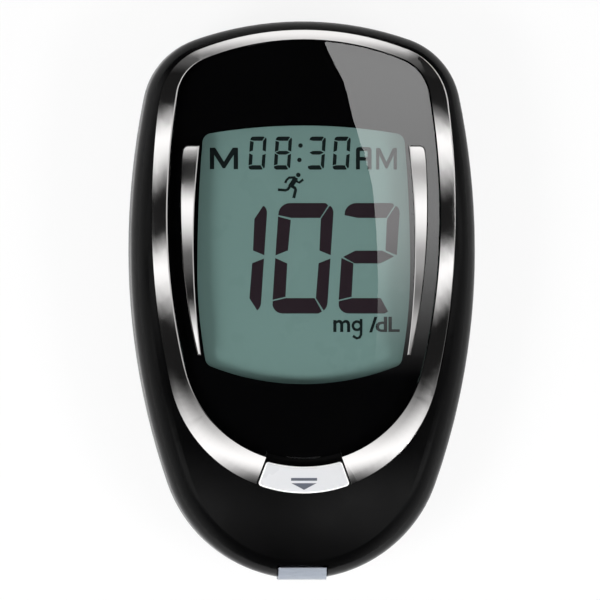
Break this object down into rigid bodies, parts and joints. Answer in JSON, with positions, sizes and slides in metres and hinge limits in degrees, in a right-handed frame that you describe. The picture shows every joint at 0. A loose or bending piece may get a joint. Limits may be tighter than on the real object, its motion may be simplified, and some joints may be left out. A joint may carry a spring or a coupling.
{
  "type": "blood glucose meter",
  "caption": "Egg-shaped handheld blood glucose meter with a segment display under a glossy lens, a C-shaped bezel ring, a sliding strip release key, side keys and a battery door.",
  "frame": {"origin": "under the middle of the body, on the surface that the meter lies on", "axes": "+Z out of the display, +Y to the top end, away from the strip port, +X to the side with the three keys"},
  "size_m": [0.0538, 0.0874, 0.0175],
  "materials": {
    "housing_black": "satin black moulded plastic with a fine texture",
    "satin_chrome": "satin chrome plate on plastic",
    "clear_lens": "clear glossy hard-coated plastic",
    "mask_black": "black print behind the lens",
    "inner_black": "black moulded plastic",
    "display_glass": "grey-green display glass",
    "reflector": "grey reflector film",
    "grey_rubber": "conductive elastomer",
    "board_green": "green solder mask",
    "component_black": "moulded component",
    "port_grey": "pale grey translucent plastic",
    "gold_contact": "gold-plated spring",
    "spring_steel": "nickel-plated spring steel",
    "cell_steel": "nickel-plated steel can",
    "screw_steel": "zinc-plated steel",
    "label_grey": "blank plastic label",
    "silver_key": "silver lacquer on plastic",
    "white_plastic": "natural acetal",
    "key_black": "black moulded key"
  },
  "bodies": {
    "root": {"front_housing": "housing_black", "rear_housing": "housing_black", "bezel_ring": "satin_chrome", "window_lens": "clear_lens", "lens_mask": "mask_black", "accent_strip_left": "satin_chrome", "accent_strip_right": "satin_chrome", "display_frame": "inner_black", "lcd_cell": "display_glass", "lcd_reflector": "reflector", "lcd_connector": "grey_rubber", "main_board": "board_green", "board_components": "component_black", "buzzer": "component_black", "port_bezel": "port_grey", "strip_connector": "inner_black", "strip_contacts": "gold_contact", "ejector_springs": "spring_steel", "side_switches": "component_black", "coin_cell": "cell_steel", "battery_contact_positive": "spring_steel", "battery_contact_negative": "spring_steel", "case_screws": "screw_steel", "rear_label": "label_grey"},
    "release_slide": {"release_button": "silver_key", "ejector_slide": "white_plastic"},
    "battery_cover": {"battery_door": "housing_black"},
    "key_up": {"side_key_up": "key_black", "switch_plunger_up": "white_plastic"},
    "key_set": {"side_key_set": "key_black", "switch_plunger_set": "white_plastic"},
    "key_down": {"side_key_down": "key_black", "switch_plunger_down": "white_plastic"}
  },
  "joints": [
    {"name": "release_slide_travel", "type": "slide", "parent": "root", "child": "release_slide", "axis": [0, -0.9887, -0.1496], "range_m": [0, 0.0022], "stiffness_N_per_m": 300, "springref_m": -0.001, "deforming": ["ejector_springs"]},
    {"name": "battery_door_swing", "type": "hinge", "parent": "root", "child": "battery_cover", "pos_m": [0, 0.02235, 0.0003], "axis": [1, 0, 0], "range_deg": [0, 75]},
    {"name": "side_key_up_press", "type": "slide", "parent": "root", "child": "key_up", "axis": [-1, 0, 0], "range_m": [0, 0.0004], "stiffness_N_per_m": 1500, "springref_m": -0.0002},
    {"name": "side_key_set_press", "type": "slide", "parent": "root", "child": "key_set", "axis": [-1, 0, 0], "range_m": [0, 0.0004], "stiffness_N_per_m": 1500, "springref_m": -0.0002},
    {"name": "side_key_down_press", "type": "slide", "parent": "root", "child": "key_down", "axis": [-1, 0, 0], "range_m": [0, 0.0004], "stiffness_N_per_m": 1500, "springref_m": -0.0002}
  ]
}
